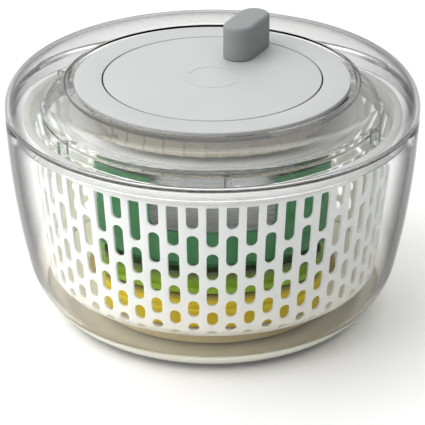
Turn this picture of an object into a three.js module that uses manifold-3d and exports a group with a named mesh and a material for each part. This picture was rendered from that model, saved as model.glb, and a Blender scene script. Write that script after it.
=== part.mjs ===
// A crank-driven salad spinner: clear bowl, slotted basket, clear lid with a geared crank unit,
// and three preparation trays stacked inside the basket. Millimetres, +Z up, origin at the middle
// of the base, front of the object towards -Y.
import * as THREE from "three";
import { mergeVertices } from "three/addons/utils/BufferGeometryUtils.js";
import Module from "manifold-3d";

const wasm = await Module();
wasm.setup();

// ---- Driving dimensions ----
const GAP = 0.3; // between pieces that touch
const RIM_RADIUS = 132.5; // outside of the bowl's rim and of the lid
const RIM_HEIGHT = 139; // where the lid meets the bowl
const DECK = 157; // top of the crank disc and of the ring round it
const CLEAR_WALL = 2.9; // bowl wall
const FACETS = 40; // facets round the bowl and lid

const COLUMNS = 60; // columns of slots round the basket
const COLUMN_PITCH = (2 * Math.PI) / COLUMNS;
const SLOT_WIDTH = 7;
const BASKET_WALL = 1.9;
const BASKET_FLOOR = 9; // underside of the basket
const BASKET_RIM = 134;

const CRANK_RADIUS = 69.5;
const COVER_RADIUS = 88;
const KNOB_RADIUS = 49.7; // from the spin axis to the knob's pin
const KNOB_AZIMUTH = THREE.MathUtils.degToRad(63.5);
const KNOB_LENGTH = 42.9;
const KNOB_WIDTH = 20.5;
const KNOB_TOP = 180;

const GEAR_MODULE = 2.5;
const PRESSURE_ANGLE = THREE.MathUtils.degToRad(25);
const RING_TEETH = 48;
const IDLER_TEETH = 18;
const SUN_TEETH = 12;
const BACKLASH = 0.34; // taken off each tooth's thickness, half on a side
const IDLERS = 3;
const IDLER_ORBIT = ((SUN_TEETH + IDLER_TEETH) * GEAR_MODULE) / 2;
const GEAR_BOTTOM = 143;
const GEAR_TOP = 149.3;

const HOUSING_FLOOR = 140; // underside of the gear housing
const HOUSING_RADIUS = 84.2;
const LUG_AZIMUTH = THREE.MathUtils.degToRad(-26);
const LUG_HALF_ANGLE = THREE.MathUtils.degToRad(12);
const UNLOCK_TURN = THREE.MathUtils.degToRad(-28);
const SHAFT_RADIUS = 4;
const PLATE_LUGS = 6;
const plateLugAngle = (i) => THREE.MathUtils.degToRad(-85.3) + (i * 2 * Math.PI) / PLATE_LUGS;

// ---- Materials ----
function plastic(color, roughness, opacity = 1) {
  const transparent = opacity < 1;
  return new THREE.MeshStandardMaterial({ color, roughness, metalness: 0, opacity, transparent });
}
const clearPlastic = plastic(0xe9ecec, 0.06, 0.3);
const whitePlastic = plastic(0xf2f1ee, 0.4);
const creamPlastic = plastic(0xe4dfce, 0.45);
const coverPlastic = plastic(0xd3d3d3, 0.55);
const knobPlastic = plastic(0x8e9292, 0.6);
const gearPlastic = plastic(0xf0ede2, 0.5);
const basePad = plastic(0xc2bba4, 0.8);
const greenPlastic = plastic(0x3f8a4f, 0.4);
const limePlastic = plastic(0x9ac22a, 0.4);
const yellowPlastic = plastic(0xe8b81c, 0.4);
const steel = new THREE.MeshStandardMaterial({ color: 0xb8bbbd, roughness: 0.25, metalness: 1 });

// ---- Shape helpers ----

// A ring or disc turned about Z. The outline is [radius, height] pairs, closed here if it isn't already.
function turned(outline, facets = FACETS, startAngle = 0) {
  const points = outline.map(([r, z]) => new THREE.Vector2(r, z));
  if (THREE.ShapeUtils.area(points) < 0) points.reverse();
  const onAxis = points.some((p) => p.x === 0);
  if (onAxis) {
    const first = points.findIndex((p, i) => p.x === 0 && points.at(i - 1).x === 0);
    points.push(...points.splice(0, first));
  } else points.push(points[0].clone());
  return new THREE.LatheGeometry(points, facets, startAngle).rotateX(Math.PI / 2);
}

function tube(inner, outer, bottom, top, facets = FACETS) {
  return turned([[inner, bottom], [outer, bottom], [outer, top], [inner, top]], facets);
}

function rod(radius, bottom, top, facets = 16) {
  return new THREE.CylinderGeometry(radius, radius, top - bottom, facets)
    .rotateX(Math.PI / 2)
    .translate(0, 0, (top + bottom) / 2);
}

function block(width, depth, bottom, top) {
  return new THREE.BoxGeometry(width, depth, top - bottom).translate(0, 0, (top + bottom) / 2);
}

function extruded(shape, bottom, top, curveSegments = 8) {
  const options = { depth: top - bottom, bevelEnabled: false, curveSegments };
  return new THREE.ExtrudeGeometry(shape, options).translate(0, 0, bottom);
}

// The same geometry moved out along X by a distance and turned about Z by an angle.
function atPolar(geometry, distance, angle) {
  return geometry.translate(distance, 0, 0).rotateZ(angle);
}

// Copies of one shape, each moved out along X by a distance and turned about Z by its own angle.
function ringOf(count, distance, angleOf, make) {
  return Array.from({ length: count }, (_, i) => atPolar(make(), distance, angleOf(i)));
}

function solidOf(geometry) {
  const bare = geometry.clone();
  bare.deleteAttribute("normal");
  bare.deleteAttribute("uv");
  const merged = mergeVertices(bare, 1e-3);
  const triangles = [];
  for (let i = 0; i < merged.index.count; i += 3) {
    const [a, b, c] = [0, 1, 2].map((k) => merged.index.getX(i + k));
    if (a !== b && b !== c && c !== a) triangles.push(a, b, c);
  }
  const vertProperties = merged.attributes.position.array;
  const triVerts = new Uint32Array(triangles);
  return new wasm.Manifold(new wasm.Mesh({ numProp: 3, vertProperties, triVerts }));
}

function geometryOf(solid) {
  const mesh = solid.getMesh();
  const geometry = new THREE.BufferGeometry();
  geometry.setAttribute("position", new THREE.BufferAttribute(new Float32Array(mesh.vertProperties), 3));
  geometry.setIndex(new THREE.BufferAttribute(new Uint32Array(mesh.triVerts), 1));
  return geometry;
}

const joined = (...parts) => geometryOf(wasm.Manifold.union(parts.map(solidOf)));
const cut = (body, ...tools) => geometryOf(solidOf(body).subtract(wasm.Manifold.union(tools.map(solidOf))));

const object = new THREE.Group();
function add(name, geometry, material) {
  const mesh = new THREE.Mesh(geometry, material);
  mesh.name = name;
  object.add(mesh);
  return mesh;
}

// ---- Bowl ----

// Points along the outside of the bowl, from the foot up to the rim.
function bowlOutside() {
  const corner = new THREE.CubicBezierCurve(
    new THREE.Vector2(91.5, 0.6),
    new THREE.Vector2(104.5, 4),
    new THREE.Vector2(118, 20),
    new THREE.Vector2(121.3, 39.3),
  );
  const wall = new THREE.QuadraticBezierCurve(
    new THREE.Vector2(121.3, 39.3),
    new THREE.Vector2(131.5, 89),
    new THREE.Vector2(RIM_RADIUS, RIM_HEIGHT - GAP),
  );
  return [...corner.getPoints(4), ...wall.getPoints(3).slice(1)];
}

// Each point of an open outline moved inwards, square to the outline, by a distance.
function inset(points, distance) {
  return points.map((p, i) => {
    const before = points[Math.max(i - 1, 0)];
    const after = points[Math.min(i + 1, points.length - 1)];
    const along = after.clone().sub(before).normalize();
    return new THREE.Vector2(p.x - along.y * distance, p.y + along.x * distance);
  });
}

function bowl() {
  const outside = bowlOutside();
  const inside = inset(outside, CLEAR_WALL).slice(1).reverse();
  inside[0].y = RIM_HEIGHT - GAP;
  const floor = 6.4;
  const footInner = 88.3;
  return turned([
    [0, 3.4],
    [footInner, 3.4],
    [footInner, 0.6],
    ...outside.map((p) => [p.x, p.y]),
    ...inside.filter((p) => p.y > floor + 1).map((p) => [p.x, p.y]),
    [91, floor],
    [7.5, floor],
    [4.6, 12.4],
    [2.4, 14],
    [0, 14],
  ]);
}

add("bowl", bowl(), clearPlastic);
add("base_ring", tube(77, 88, 0, 3.1), basePad);

// ---- Basket ----

const basketWall = new THREE.QuadraticBezierCurve(
  new THREE.Vector2(108, 29),
  new THREE.Vector2(112.6, 78),
  new THREE.Vector2(117.6, 130),
);

// Radius of the basket's outside at a height on its wall.
function basketRadius(z) {
  return basketWall.getPoint((z - 29) / 101).x;
}

// Slot spans [bottom, top] down a column. Neighbouring columns are staggered, and the slots get
// shorter towards the floor.
const BRIDGE = 3.8;
const SLOT_TOP = 121.2;
const SLOT_END = 33;
function slotSpans(firstLength) {
  const spans = [];
  let top = SLOT_TOP;
  let length = firstLength;
  while (top - length > SLOT_END) {
    spans.push([top - length, top]);
    top -= length + BRIDGE;
    length = top * 0.31;
  }
  return spans;
}
const LONG_FIRST = 28.2;
const SHORT_FIRST = 15.5;

function basket() {
  const cornerRadius = 20;
  const corner = new THREE.EllipseCurve(88, 29, cornerRadius, cornerRadius, -Math.PI / 2, 0).getPoints(2);
  const wall = basketWall.getPoints(2).slice(1);
  const outside = [...corner, ...wall];
  const inside = inset(outside, BASKET_WALL).slice(1, -1).reverse();
  const hub = 13;
  const shell = turned(
    [
      [0, 14.3],
      [5.6, 14.3],
      [8.6, BASKET_FLOOR],
      ...outside.map((p) => [p.x, p.y]),
      [121.5, 130],
      [121.5, BASKET_RIM],
      [115.6, BASKET_RIM],
      [115.6, 128],
      ...inside.map((p) => [p.x, p.y]),
      [86, BASKET_FLOOR + BASKET_WALL],
      [hub, BASKET_FLOOR + BASKET_WALL],
      [8.5, 16.4],
      [0, 16.4],
    ],
    COLUMNS,
    COLUMN_PITCH / 2,
  );
  const slots = [];
  for (let column = 0; column < COLUMNS; column++) {
    const angle = -Math.PI / 2 + column * COLUMN_PITCH;
    for (const [bottom, top] of slotSpans(column % 2 ? SHORT_FIRST : LONG_FIRST)) {
      const radius = basketRadius((bottom + top) / 2);
      slots.push(atPolar(block(12, SLOT_WIDTH, bottom, top), radius, angle));
    }
  }
  const floorSlot = () => block(50, SLOT_WIDTH, BASKET_FLOOR - 2, BASKET_FLOOR + 4);
  slots.push(...ringOf(8, 52, (i) => ((i + 0.5) * Math.PI) / 4, floorSlot));
  // A rib beside each of the drive ring's lugs, for the lug to push against.
  const ribOffset = THREE.MathUtils.degToRad(3);
  const driveRibs = ringOf(PLATE_LUGS, 113.6, (i) => plateLugAngle(i) + ribOffset, () => block(5, 3, 124, 133));
  return joined(cut(shell, ...slots), ...driveRibs);
}

add("basket", basket(), whitePlastic);

// ---- Preparation trays stacked in the basket ----

// A round outline with its two sides cut off straight, symmetric about both axes.
function trayOutline(radius, halfWidth) {
  const reach = Math.acos(halfWidth / radius);
  const shape = new THREE.Shape();
  shape.absarc(0, 0, radius, reach, Math.PI - reach, false);
  shape.absarc(0, 0, radius, Math.PI + reach, 2 * Math.PI - reach, false);
  shape.closePath();
  return shape;
}

function trayBlock(radius, halfWidth, bottom, top) {
  return extruded(trayOutline(radius, halfWidth), bottom, top, 7);
}

function trayWall(radius, halfWidth, wall, bottom, top) {
  const outline = trayOutline(radius, halfWidth);
  outline.holes.push(new THREE.Path(trayOutline(radius - wall, halfWidth - wall).getPoints(7)));
  return extruded(outline, bottom, top, 7);
}

// A grip cut into a tray's end wall: square at the top and round at its lower corners.
function gripCutter(width, bottom, top, radius) {
  const shape = new THREE.Shape();
  shape.moveTo(-width / 2, top);
  shape.absarc(-width / 2 + radius, bottom + radius, radius, Math.PI, 1.5 * Math.PI, false);
  shape.absarc(width / 2 - radius, bottom + radius, radius, 1.5 * Math.PI, 2 * Math.PI, false);
  shape.lineTo(width / 2, top);
  shape.closePath();
  const depth = 240;
  return new THREE.ExtrudeGeometry(shape, { depth, bevelEnabled: false, curveSegments: 3 })
    .rotateX(Math.PI / 2)
    .translate(0, depth / 2, 0);
}

// A thin steel plate with a grid of square holes.
function perforatedPlate(width, depth, bottom, columns, rows, holeSize) {
  const holes = [];
  for (let i = 0; i < columns; i++) {
    for (let j = 0; j < rows; j++) {
      const x = ((i + 0.5) / columns - 0.5) * (width - 10);
      const y = ((j + 0.5) / rows - 0.5) * (depth - 10);
      holes.push(block(holeSize, holeSize, bottom - 1, bottom + 2).translate(x, y, 0));
    }
  }
  return cut(block(width, depth, bottom, bottom + 0.9), ...holes);
}

const TRAY_WALL = 2.4;
const YELLOW_FOOT = BASKET_FLOOR + BASKET_WALL + GAP;
const YELLOW_FLOOR = 27;
const LIME_FLOOR = 50.5;
const GREEN_FOOT = 66;
const GREEN_FLOOR = 74;
const GREEN_RIM = 128;
const window = (width, depth, floor) => block(width, depth, floor - 1, floor + 5);

add(
  "grater_tray",
  cut(
    joined(
      trayWall(86, 64, TRAY_WALL, YELLOW_FOOT, YELLOW_FLOOR + 1),
      trayBlock(93, 68, YELLOW_FLOOR, YELLOW_FLOOR + TRAY_WALL),
      trayWall(93, 68, TRAY_WALL, YELLOW_FLOOR, 50.2),
      trayWall(96.5, 71.5, 5, 38.6, 41.6),
    ),
    window(80, 60, YELLOW_FLOOR),
  ),
  yellowPlastic,
);
add("grater_plate", perforatedPlate(90, 70, YELLOW_FLOOR + TRAY_WALL + GAP, 4, 3, 8), steel);
add(
  "shredder_tray",
  cut(
    joined(
      trayBlock(93, 68, LIME_FLOOR, LIME_FLOOR + TRAY_WALL),
      trayWall(93, 68, TRAY_WALL, LIME_FLOOR, GREEN_FOOT - GAP),
      trayWall(97, 72, 5, 53, 56.4),
    ),
    window(80, 60, LIME_FLOOR),
  ),
  limePlastic,
);
add("shredder_plate", perforatedPlate(90, 70, LIME_FLOOR + TRAY_WALL + GAP, 5, 2, 9), steel);
add(
  "slicer_tray",
  cut(
    joined(
      trayWall(88, 63, TRAY_WALL, GREEN_FOOT, GREEN_FLOOR + 1),
      trayBlock(97, 72, GREEN_FLOOR, GREEN_FLOOR + TRAY_WALL),
      trayWall(97, 72, TRAY_WALL, GREEN_FLOOR, GREEN_RIM),
    ),
    window(100, 100, GREEN_FLOOR),
    gripCutter(76, 94, GREEN_RIM + 4, 8),
  ),
  greenPlastic,
);

// A steel bed with a mouth across it, and a blade over the mouth that slopes to a cutting edge.
const BED_BOTTOM = GREEN_FLOOR + TRAY_WALL + GAP;
const BED_TOP = BED_BOTTOM + 0.9;
const bedMouth = block(100, 9, BED_BOTTOM - 1, BED_TOP + 1).translate(0, -4, 0);
add("slicer_bed", cut(block(116, 128, BED_BOTTOM, BED_TOP), bedMouth), steel);

function slicerBlade() {
  const bottom = BED_TOP + GAP;
  const section = new THREE.Shape();
  section.moveTo(-6, bottom);
  section.lineTo(14, bottom);
  section.lineTo(14, bottom + 1);
  section.lineTo(3, bottom + 1);
  section.closePath();
  const length = 110;
  return new THREE.ExtrudeGeometry(section, { depth: length, bevelEnabled: false })
    .rotateX(Math.PI / 2)
    .rotateZ(Math.PI / 2)
    .translate(-length / 2, 0, 0);
}
add("slicer_blade", slicerBlade(), steel);

// ---- Lid ----

const LID_INNER = 84.6; // hole that the gear housing drops into
const LEDGE_TOP = DECK - 3 - GAP;
const LEDGE_BOTTOM = LEDGE_TOP - 2.6;
const RECESS_RADIUS = 91.6;
const SHOULDER_TOP = 158.5;

function lid() {
  const quarter = (cx, cz, rx, rz, from, to, steps) =>
    new THREE.EllipseCurve(cx, cz, rx, rz, from, to, from > to).getPoints(steps).map((p) => [p.x, p.y]);
  const shoulderRise = SHOULDER_TOP - RIM_HEIGHT - 2;
  const shoulder = quarter(114, RIM_HEIGHT + 2, RIM_RADIUS - 114, shoulderRise, 0, Math.PI / 2, 5);
  const hollow = quarter(114, RIM_HEIGHT + 2, 15.7, 14.8, Math.PI / 2, 0, 3);
  const skirtFoot = 131;
  const shell = turned([
    [RIM_RADIUS, RIM_HEIGHT],
    ...shoulder,
    [104, DECK + 0.9],
    [RECESS_RADIUS, DECK],
    [RECESS_RADIUS, LEDGE_TOP],
    [LID_INNER, LEDGE_TOP],
    [LID_INNER, LEDGE_BOTTOM],
    [94.4, LEDGE_BOTTOM],
    [94.4, DECK - 2.6],
    ...hollow,
    [126.9, RIM_HEIGHT - 1],
    [126.9, skirtFoot],
    [128.9, skirtFoot],
    [128.9, RIM_HEIGHT],
  ]);
  // Two ways through the ledge let the housing's lugs drop in before the unit is turned to lock.
  const notches = [0, Math.PI].map((half) => {
    const centre = LUG_AZIMUTH + UNLOCK_TURN + half;
    const reach = LUG_HALF_ANGLE + THREE.MathUtils.degToRad(1.5);
    const shape = new THREE.Shape();
    shape.absarc(0, 0, 90.9, centre - reach, centre + reach, false);
    shape.absarc(0, 0, LID_INNER - 2, centre + reach, centre - reach, true);
    shape.closePath();
    return extruded(shape, LEDGE_BOTTOM - 2, LEDGE_TOP + 2, 5);
  });
  return cut(shell, ...notches);
}

add("lid_shell", lid(), clearPlastic);

// ---- Gear housing, cover ring and their screws ----

const SCREW_ORBIT = 78;
const SCREWS = 4;
const screwAngle = (i) => ((i + 0.5) * 2 * Math.PI) / SCREWS;
const idlerAngle = (i) => Math.PI / 2 + (i * 2 * Math.PI) / IDLERS;
const BUSH_RADIUS = 6.5;
const HOUSING_DECK = 142.4; // top of the housing's floor
const BUSH_BOTTOM = 137.6;

function gearHousing() {
  const boss = 10;
  const tub = turned([
    [BUSH_RADIUS + GAP, BUSH_BOTTOM],
    [boss, BUSH_BOTTOM],
    [boss, HOUSING_FLOOR],
    [HOUSING_RADIUS - 1.2, HOUSING_FLOOR],
    [HOUSING_RADIUS - 1.2, DECK - 3 - GAP],
    [81.2, DECK - 3 - GAP],
    [81.2, HOUSING_DECK],
    [73, HOUSING_DECK],
    [73, 151.1],
    [71, 151.1],
    [71, HOUSING_DECK],
    [BUSH_RADIUS + GAP, HOUSING_DECK],
  ]);
  const ribs = 40;
  const ribDepth = 3;
  const ribCentre = HOUSING_RADIUS - ribDepth / 2 - 0.1;
  const wallRib = () => block(ribDepth, 5.6, HOUSING_FLOOR, LEDGE_BOTTOM - GAP);
  const wallRibs = ringOf(ribs, ribCentre, (i) => ((i + 0.5) * 2 * Math.PI) / ribs, wallRib);
  const lugs = [0, Math.PI].map((half) => {
    const centre = LUG_AZIMUTH + half;
    const shape = new THREE.Shape();
    shape.absarc(0, 0, 90, centre - LUG_HALF_ANGLE, centre + LUG_HALF_ANGLE, false);
    shape.absarc(0, 0, 82, centre + LUG_HALF_ANGLE, centre - LUG_HALF_ANGLE, true);
    shape.closePath();
    return extruded(shape, LEDGE_BOTTOM - GAP - 3, LEDGE_BOTTOM - GAP, 4);
  });
  const post = () => rod(3.6, HOUSING_FLOOR, DECK - 3 - GAP, 8);
  const posts = ringOf(SCREWS, SCREW_ORBIT, screwAngle, post);
  const holes = ringOf(SCREWS, SCREW_ORBIT, screwAngle, () => rod(1.8, HOUSING_FLOOR - 1, DECK, 8));
  const pinHole = () => rod(3.3, HOUSING_FLOOR - 1, HOUSING_DECK + 1, 12);
  const pinHoles = ringOf(IDLERS, IDLER_ORBIT, idlerAngle, pinHole);
  return cut(joined(tub, ...wallRibs, ...lugs, ...posts), ...holes, ...pinHoles);
}

function coverRing() {
  const ring = turned([
    [CRANK_RADIUS + 0.7, DECK - 3],
    [COVER_RADIUS, DECK - 3],
    [COVER_RADIUS, DECK - 0.8],
    [COVER_RADIUS - 0.8, DECK],
    [CRANK_RADIUS + 0.7, DECK],
  ]);
  return cut(ring, ...ringOf(SCREWS, SCREW_ORBIT, screwAngle, () => rod(1.8, DECK - 4, DECK - 1, 8)));
}

// A screw standing head down, with its shank going up to the tip.
function screw(headRadius, shankRadius, headBottom, headTop, tip) {
  const head = [[0, headBottom], [headRadius, headBottom], [headRadius, headTop]];
  const shank = [[shankRadius, headTop], [shankRadius, tip], [0, tip]];
  return turned([...head, ...shank], 6);
}

add("gear_housing", gearHousing(), creamPlastic);
add("cover_ring", coverRing(), coverPlastic);
for (let i = 0; i < SCREWS; i++) {
  const head = HOUSING_FLOOR - GAP;
  const fastener = screw(3, 1.5, head - 1.6, head, DECK - 1.6);
  add(`cover_screw_${i + 1}`, atPolar(fastener, SCREW_ORBIT, screwAngle(i)), steel);
}

// ---- Crank disc, its ring gear and the knob ----

const CRANK_UNDERSIDE = 151.4;
const RING_SCREWS = 3;
const RING_SCREW_ORBIT = 67.4;
const ringScrewAngle = (i) => (i * 2 * Math.PI) / RING_SCREWS;

function crankDisc() {
  const disc = turned([
    [0, CRANK_UNDERSIDE],
    [74, CRANK_UNDERSIDE],
    [74, DECK - 3 - GAP],
    [CRANK_RADIUS, DECK - 3 - GAP],
    [CRANK_RADIUS, DECK - 0.5],
    [CRANK_RADIUS - 0.5, DECK],
    [0, DECK],
  ]);
  const screwHole = () => rod(1.3, CRANK_UNDERSIDE - 1, DECK - 2.4, 8);
  const screwHoles = ringOf(RING_SCREWS, RING_SCREW_ORBIT, ringScrewAngle, screwHole);
  const pinHole = atPolar(rod(SHAFT_RADIUS + GAP, CRANK_UNDERSIDE - 1, DECK + 1), KNOB_RADIUS, KNOB_AZIMUTH);
  const pinPocket = atPolar(rod(7, CRANK_UNDERSIDE - 1, CRANK_UNDERSIDE + 2.4), KNOB_RADIUS, KNOB_AZIMUTH);
  return cut(disc, pinHole, pinPocket, ...screwHoles);
}

// The outline of a spur gear, with a tooth centred on the angle given. Each flank is an involute.
function gearOutline(teeth, rootRadius, tipRadius, thinning, firstTooth) {
  const pitchRadius = (teeth * GEAR_MODULE) / 2;
  const baseRadius = pitchRadius * Math.cos(PRESSURE_ANGLE);
  const involute = (angle) => Math.tan(angle) - angle;
  const halfAngleAt = (r) => {
    const rollAngle = Math.acos(Math.min(1, baseRadius / r));
    const atPitch = Math.PI / (2 * teeth) - thinning / 2 / pitchRadius;
    return atPitch + involute(PRESSURE_ANGLE) - involute(rollAngle);
  };
  const radii = [rootRadius, tipRadius];
  const flank = radii.map((r) => [r, halfAngleAt(Math.max(r, baseRadius))]);
  const points = [];
  for (let tooth = 0; tooth < teeth; tooth++) {
    const centre = firstTooth + (tooth * 2 * Math.PI) / teeth;
    for (const [r, half] of flank) points.push([r, centre - half]);
    for (const [r, half] of [...flank].reverse()) points.push([r, centre + half]);
  }
  return points.map(([r, angle]) => new THREE.Vector2(r * Math.cos(angle), r * Math.sin(angle)));
}

function circlePath(radius, steps = 12) {
  const path = new THREE.Path();
  path.absarc(0, 0, radius, 0, 2 * Math.PI, false);
  return new THREE.Path(path.getPoints(steps).slice(0, -1));
}

// A gear's teeth stand 0.8 modules above the pitch circle, and the roots are a whole module below it.
const toothTop = (teeth) => (teeth / 2 + 0.8) * GEAR_MODULE;
const toothRoot = (teeth) => (teeth / 2 - 1) * GEAR_MODULE;

function spurGear(teeth, boreRadius, firstTooth) {
  const outline = gearOutline(teeth, toothRoot(teeth), toothTop(teeth), BACKLASH / 2, firstTooth);
  const shape = new THREE.Shape(outline);
  shape.holes.push(circlePath(boreRadius));
  return extruded(shape, GEAR_BOTTOM, GEAR_TOP);
}

// The idlers have a gap between two teeth on their side away from the axis, so the ring gear has
// a tooth there, and a gap half a tooth pitch further round.
function ringGear() {
  const spaceAngle = idlerAngle(0) + Math.PI / RING_TEETH;
  const wallRadius = 65;
  const wall = new THREE.Shape(circlePath(wallRadius, 36).getPoints());
  const tip = (RING_TEETH / 2 - 0.8) * GEAR_MODULE;
  const root = (RING_TEETH / 2 + 1) * GEAR_MODULE;
  wall.holes.push(new THREE.Path(gearOutline(RING_TEETH, tip, root, -BACKLASH / 2, spaceAngle)));
  const toothed = extruded(wall, GEAR_BOTTOM, GEAR_TOP);
  const flange = tube(62.6, 69.9, GEAR_TOP - 0.2, CRANK_UNDERSIDE - GAP, 36);
  const hole = () => rod(1.3, GEAR_TOP - 1, CRANK_UNDERSIDE + 1, 8);
  return cut(joined(toothed, flange), ...ringOf(RING_SCREWS, RING_SCREW_ORBIT, ringScrewAngle, hole));
}

// The knob's plan: a straight-sided bar with round ends, lying along X.
function knobOutline(inset) {
  const radius = KNOB_WIDTH / 2 - inset;
  const reach = (KNOB_LENGTH - KNOB_WIDTH) / 2;
  const shape = new THREE.Shape();
  shape.absarc(reach, 0, radius, -Math.PI / 2, Math.PI / 2, false);
  shape.absarc(-reach, 0, radius, Math.PI / 2, 1.5 * Math.PI, false);
  shape.closePath();
  return shape;
}

function knob() {
  const edge = 2.2;
  const bottom = DECK + GAP;
  const body = new THREE.ExtrudeGeometry(knobOutline(edge), {
    depth: KNOB_TOP - bottom - edge,
    bevelThickness: edge,
    bevelSize: edge,
    bevelSegments: 2,
    curveSegments: 6,
  }).translate(0, 0, bottom);
  const trimmed = cut(body, block(60, 40, bottom - 10, bottom));
  const bore = rod(SHAFT_RADIUS + GAP, bottom - 1, KNOB_TOP - 5);
  const clipPocket = rod(SHAFT_RADIUS + 3, 170, 173);
  return cut(trimmed, bore, clipPocket).rotateZ(KNOB_AZIMUTH).translate(
    KNOB_RADIUS * Math.cos(KNOB_AZIMUTH),
    KNOB_RADIUS * Math.sin(KNOB_AZIMUTH),
    0,
  );
}

function knobPin() {
  const head = CRANK_UNDERSIDE + 0.3;
  return turned(
    [
      [0, head],
      [6.5, head],
      [6.5, head + 1.6],
      [SHAFT_RADIUS, head + 1.6],
      [SHAFT_RADIUS, 170.6],
      [SHAFT_RADIUS - 1, 170.6],
      [SHAFT_RADIUS - 1, 172.4],
      [SHAFT_RADIUS, 172.4],
      [SHAFT_RADIUS, 174],
      [0, 174],
    ],
    12,
  );
}

// A C-shaped spring clip that snaps into a groove.
function openClip(inner, outer, bottom, top) {
  const mouth = 0.45;
  const shape = new THREE.Shape();
  shape.absarc(0, 0, outer, mouth, 2 * Math.PI - mouth, false);
  shape.absarc(0, 0, inner, 2 * Math.PI - mouth, mouth, true);
  shape.closePath();
  return extruded(shape, bottom, top, 10);
}

add("crank_disc", crankDisc(), coverPlastic);
add("ring_gear", ringGear(), gearPlastic);
for (let i = 0; i < RING_SCREWS; i++) {
  const head = GEAR_TOP - 0.2 - GAP;
  const fastener = screw(2.1, 1, head - 1.6, head, DECK - 3);
  add(`ring_gear_screw_${i + 1}`, atPolar(fastener, RING_SCREW_ORBIT, ringScrewAngle(i)), steel);
}
add("knob", knob(), knobPlastic);
add("knob_pin", atPolar(knobPin(), KNOB_RADIUS, KNOB_AZIMUTH), steel);
add("knob_clip", atPolar(openClip(3.3, 6.3, 170.9, 172.1), KNOB_RADIUS, KNOB_AZIMUTH), steel);

// ---- Idler gears on their pins ----

for (let i = 0; i < IDLERS; i++) {
  const angle = idlerAngle(i);
  // Half a tooth pitch off the line of centres, so that a gap faces the sun gear.
  const firstTooth = Math.PI / IDLER_TEETH + angle;
  const gear = spurGear(IDLER_TEETH, 3.3, firstTooth);
  gear.translate(IDLER_ORBIT * Math.cos(angle), IDLER_ORBIT * Math.sin(angle), 0);
  add(`idler_gear_${i + 1}`, gear, gearPlastic);
  const pin = turned(
    [
      [0, HOUSING_FLOOR - 1],
      [3, HOUSING_FLOOR - 1],
      [3, GEAR_TOP + GAP],
      [4.6, GEAR_TOP + GAP],
      [4.6, CRANK_UNDERSIDE - 0.8],
      [0, CRANK_UNDERSIDE - 0.8],
    ],
    12,
  );
  add(`idler_pin_${i + 1}`, atPolar(pin, IDLER_ORBIT, angle), steel);
}

// ---- Sun gear, shaft and drive plate ----

const SHAFT_FOOT = 126.6;
add("sun_gear", spurGear(SUN_TEETH, SHAFT_RADIUS + GAP, idlerAngle(0)), gearPlastic);
add("drive_shaft", rod(SHAFT_RADIUS, SHAFT_FOOT, CRANK_UNDERSIDE - 0.8), steel);
add("shaft_bush", tube(SHAFT_RADIUS + GAP, BUSH_RADIUS, BUSH_BOTTOM, GEAR_BOTTOM - GAP, 12), steel);

const HUB_RADIUS = 12;
const PLATE_RADIUS = 98;
const PLATE_BOTTOM = 133.4;
const PLATE_TOP = 135.2;

function drivePlate() {
  return turned([
    [SHAFT_RADIUS + GAP, 131],
    [HUB_RADIUS, 131],
    [HUB_RADIUS, PLATE_BOTTOM],
    [PLATE_RADIUS, PLATE_BOTTOM],
    [PLATE_RADIUS, PLATE_TOP],
    [HUB_RADIUS, PLATE_TOP],
    [HUB_RADIUS, BUSH_BOTTOM - GAP],
    [SHAFT_RADIUS + GAP, BUSH_BOTTOM - GAP],
  ]);
}

// A clear ring clipped on top of the plate. Its lugs hang into the basket's rim.
const DRIVE_RING_OUTER = 108.5;
function driveRing() {
  const inner = DRIVE_RING_OUTER - 2.4;
  const ring = turned([
    [93, PLATE_TOP + GAP],
    [inner, PLATE_TOP + GAP],
    [inner, 129.4],
    [DRIVE_RING_OUTER, 129.4],
    [DRIVE_RING_OUTER, 141],
    [inner, 141],
    [inner, PLATE_TOP + 1.8],
    [93, PLATE_TOP + 1.8],
  ]);
  const lug = () => block(6.4, 4, 129.4, 140);
  return joined(ring, ...ringOf(PLATE_LUGS, DRIVE_RING_OUTER + 2.2, plateLugAngle, lug));
}
add("drive_plate", drivePlate(), whitePlastic);
add("drive_ring", driveRing(), clearPlastic);

function hexNut(bottom, top) {
  const flats = 7;
  const shape = new THREE.Shape();
  for (let i = 0; i < 6; i++) {
    const angle = (i * Math.PI) / 3;
    shape[i ? "lineTo" : "moveTo"](flats * Math.cos(angle), flats * Math.sin(angle));
  }
  shape.closePath();
  shape.holes.push(circlePath(SHAFT_RADIUS + GAP));
  return extruded(shape, bottom, top);
}
add("drive_nut", hexNut(127, 129.4), steel);
add("drive_washer", tube(SHAFT_RADIUS + GAP, 9, 129.7, 130.7, 12), steel);

export default object;
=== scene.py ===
"""Looks for a crank-driven salad spinner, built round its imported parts."""

import math

import bmesh
import bpy
from mathutils import Matrix, Vector
from mathutils.geometry import delaunay_2d_cdt


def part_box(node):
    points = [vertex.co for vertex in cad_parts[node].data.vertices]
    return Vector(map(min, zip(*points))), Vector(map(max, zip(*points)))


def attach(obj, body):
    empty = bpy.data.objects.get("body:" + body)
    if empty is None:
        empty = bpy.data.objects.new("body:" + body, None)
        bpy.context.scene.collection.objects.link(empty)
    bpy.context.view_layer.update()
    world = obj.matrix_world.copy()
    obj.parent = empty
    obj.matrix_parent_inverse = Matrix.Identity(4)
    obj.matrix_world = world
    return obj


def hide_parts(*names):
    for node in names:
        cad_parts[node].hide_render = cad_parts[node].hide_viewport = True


bl_info = {
    "name": "Salad Spinner",
    "version": (1, 0, 0),
    "blender": (4, 5, 0),
    "location": "3D View > Sidebar > Spinner",
    "description": "Builds the visible pieces of a crank-driven salad spinner",
    "category": "Object",
}

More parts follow.
